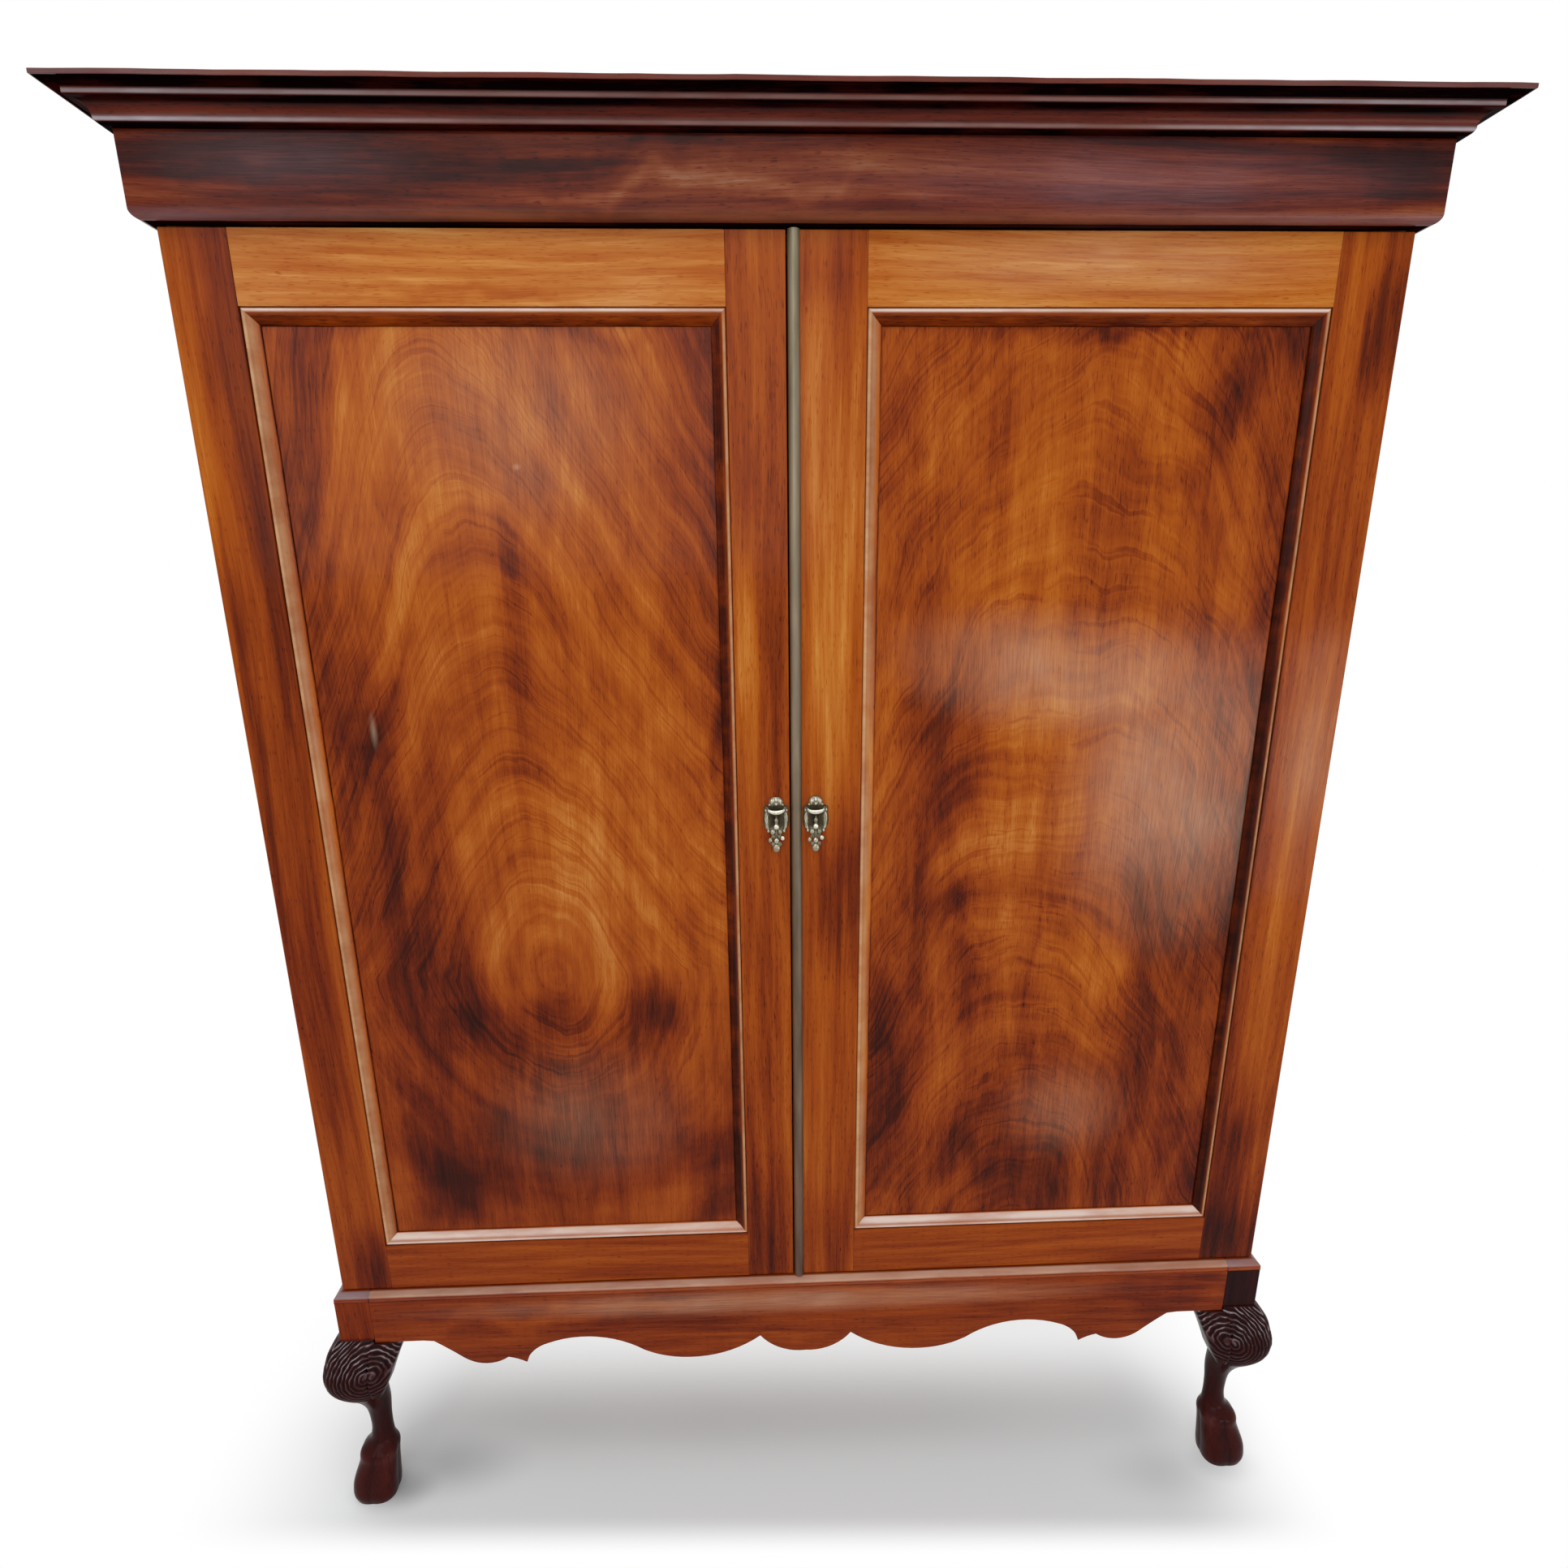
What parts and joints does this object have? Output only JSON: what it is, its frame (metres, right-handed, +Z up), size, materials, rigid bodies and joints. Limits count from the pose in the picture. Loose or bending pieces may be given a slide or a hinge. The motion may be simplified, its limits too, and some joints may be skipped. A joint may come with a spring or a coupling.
{
  "type": "wardrobe",
  "caption": "Tall wardrobe with figured framed doors, stepped cornice, scalloped apron and carved cabriole legs; the doors open on a hanging rail and a hat shelf.",
  "frame": {"origin": "on the floor under the middle of the whole piece, cornice included", "axes": "+Z up, -Y towards the front of the doors, +X to the right as seen from the front"},
  "size_m": [1.529, 0.6294, 1.902],
  "materials": {
    "mahogany": "worn gloss varnish",
    "panel_veneer": "figured veneer under gloss varnish",
    "panel_moulding": "gloss varnish",
    "cornice_wood": "dark gloss varnish",
    "stand_wood": "dark gloss varnish",
    "leg_wood": "dark gloss varnish, worn on the carving",
    "inner_wood": "plain wood",
    "cast_brass": "tarnished casting",
    "drawn_brass": "dull",
    "old_steel": "dull"
  },
  "bodies": {
    "carcase": {"carcase_side_left": "mahogany", "carcase_side_right": "mahogany", "carcase_top": "mahogany", "carcase_bottom": "mahogany", "frieze_front": "cornice_wood", "frieze_left": "cornice_wood", "frieze_right": "cornice_wood", "cornice_front": "cornice_wood", "cornice_left": "cornice_wood", "cornice_right": "cornice_wood", "front_apron": "stand_wood", "side_rail_left": "stand_wood", "side_rail_right": "stand_wood", "base_moulding_front": "stand_wood", "base_moulding_left": "stand_wood", "base_moulding_right": "stand_wood", "leg_front_left": "leg_wood", "leg_front_right": "leg_wood", "leg_rear_left": "leg_wood", "leg_rear_right": "leg_wood", "knee_blocks_front": "leg_wood", "knee_blocks_side": "leg_wood", "back_rail": "inner_wood", "back_panels": "inner_wood", "back_muntin": "inner_wood", "frieze_back": "inner_wood", "dust_board": "inner_wood", "hat_shelf": "inner_wood", "shelf_battens": "inner_wood", "glue_blocks": "inner_wood", "hanging_rail": "inner_wood", "rail_sockets": "drawn_brass", "hinge_frame_leaves": "drawn_brass", "hinge_pins": "old_steel", "bolt_keepers": "old_steel"},
    "left_door": {"left_door_hinge_stile": "mahogany", "left_door_lock_stile": "mahogany", "left_door_top_rail": "mahogany", "left_door_bottom_rail": "mahogany", "left_door_panel": "panel_veneer", "left_door_moulding": "panel_moulding", "left_handle_plate": "cast_brass", "left_hinge_door_leaves": "drawn_brass", "bolt_cases": "old_steel", "lock_strike": "old_steel"},
    "right_door": {"right_door_hinge_stile": "mahogany", "right_door_lock_stile": "mahogany", "right_door_top_rail": "mahogany", "right_door_bottom_rail": "mahogany", "right_door_panel": "panel_veneer", "right_door_moulding": "panel_moulding", "right_handle_plate": "cast_brass", "right_hinge_door_leaves": "drawn_brass", "meeting_bead": "drawn_brass", "lock_case": "old_steel"},
    "left_bail": {"left_handle_bail": "cast_brass"},
    "right_bail": {"right_handle_bail": "cast_brass"},
    "top_bolt": {"top_bolt": "old_steel"},
    "bottom_bolt": {"bottom_bolt": "old_steel"},
    "lock_bolt": {"lock_bolt": "old_steel"}
  },
  "joints": [
    {"name": "left_door_swing", "type": "hinge", "parent": "carcase", "child": "left_door", "pos_m": [-0.7047, -0.22575, 1.0895], "axis": [0, 0, -1], "range_deg": [0, 165]},
    {"name": "right_door_swing", "type": "hinge", "parent": "carcase", "child": "right_door", "pos_m": [0.7047, -0.22575, 1.0895], "axis": [0, 0, 1], "range_deg": [0, 165]},
    {"name": "left_bail_swing", "type": "hinge", "parent": "left_door", "child": "left_bail", "pos_m": [-0.036, -0.25675, 1.126], "axis": [-1, 0, 0], "range_deg": [0, 85]},
    {"name": "right_bail_swing", "type": "hinge", "parent": "right_door", "child": "right_bail", "pos_m": [0.016, -0.25675, 1.126], "axis": [-1, 0, 0], "range_deg": [0, 85]},
    {"name": "top_bolt_slide", "type": "slide", "parent": "left_door", "child": "top_bolt", "axis": [0, 0, 1], "range_m": [0, 0.017]},
    {"name": "bottom_bolt_slide", "type": "slide", "parent": "left_door", "child": "bottom_bolt", "axis": [0, 0, -1], "range_m": [0, 0.017]},
    {"name": "lock_bolt_slide", "type": "slide", "parent": "right_door", "child": "lock_bolt", "axis": [-1, 0, 0], "range_m": [0, 0.012]}
  ]
}
